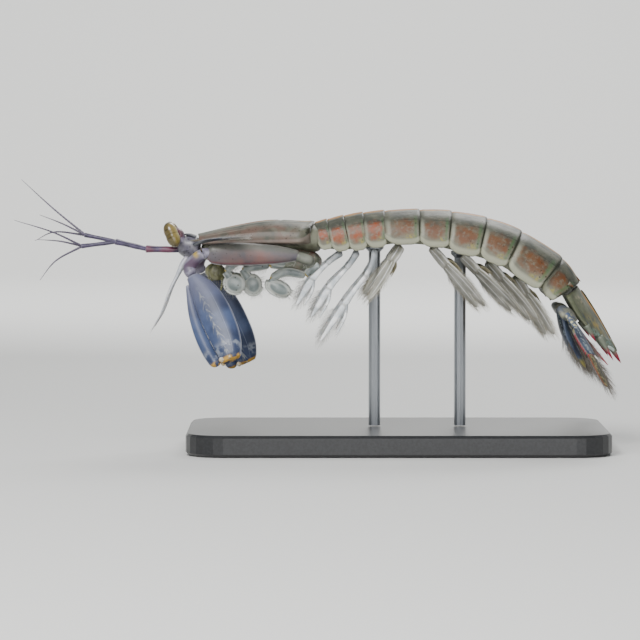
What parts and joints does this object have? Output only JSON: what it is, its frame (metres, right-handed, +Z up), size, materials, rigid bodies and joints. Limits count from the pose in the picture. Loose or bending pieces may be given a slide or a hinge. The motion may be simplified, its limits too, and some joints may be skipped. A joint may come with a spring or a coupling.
{
  "type": "mantis shrimp",
  "caption": "Life-size still model of a slender spearing mantis shrimp with folded claws, held level over a flat stand by short rods.",
  "frame": {"origin": "centre of the underside of the stand's base", "axes": "+X towards the tail fan, the head points to -X, +Z up, the animal's left side faces -Y"},
  "size_m": [0.1445, 0.0584, 0.0641],
  "materials": {
    "shell": "glossy translucent shell",
    "head_shell": "glossy translucent shell",
    "flesh": "milky translucent",
    "mouth": "satin",
    "eye": "wet gloss",
    "feeler": "satin",
    "pale": "satin",
    "claw": "glossy translucent",
    "limb": "satin",
    "swimmeret": "satin translucent",
    "tail_shell": "glossy translucent shell",
    "tail_fan": "glossy translucent",
    "setae": "fine hairs",
    "stand_paint": "satin black",
    "stand_steel": "brushed"
  },
  "bodies": {
    "root": {"head": "head_shell", "rostral_plate": "shell", "carapace": "shell", "cephalothorax": "flesh", "mouthparts": "mouth", "telson": "tail_shell", "thorax_5": "shell", "thorax_6": "shell", "thorax_7": "shell", "thorax_8": "shell", "abdomen_1": "shell", "abdomen_2": "shell", "abdomen_3": "shell", "abdomen_4": "shell", "abdomen_5": "shell", "abdomen_6": "shell", "claw_left_arm": "head_shell", "claw_left_propodus": "claw", "claw_left_dactylus": "claw", "uropod_left_protopod": "tail_fan", "uropod_left_exopod": "tail_fan", "claw_right_arm": "head_shell", "claw_right_propodus": "claw", "claw_right_dactylus": "claw", "uropod_right_protopod": "tail_fan", "uropod_right_exopod": "tail_fan", "eye_left": "eye", "eye_right": "eye", "antennule_left": "feeler", "antennule_right": "feeler", "antenna_left": "pale", "antenna_right": "pale", "antennal_scale_left": "pale", "antennal_scale_right": "pale", "maxilliped_3_left": "flesh", "maxilliped_3_right": "flesh", "maxilliped_4_left": "flesh", "maxilliped_4_right": "flesh", "maxilliped_5_left": "flesh", "maxilliped_5_right": "flesh", "leg_1_left": "limb", "leg_1_right": "limb", "leg_2_left": "limb", "leg_2_right": "limb", "leg_3_left": "limb", "leg_3_right": "limb", "pleopod_1_left": "swimmeret", "pleopod_1_right": "swimmeret", "pleopod_2_left": "swimmeret", "pleopod_2_right": "swimmeret", "pleopod_3_left": "swimmeret", "pleopod_3_right": "swimmeret", "pleopod_4_left": "swimmeret", "pleopod_4_right": "swimmeret", "pleopod_5_left": "swimmeret", "pleopod_5_right": "swimmeret", "stand_base": "stand_paint", "stand_rod_front": "stand_steel", "stand_rod_rear": "stand_steel"}
  },
  "joints": []
}
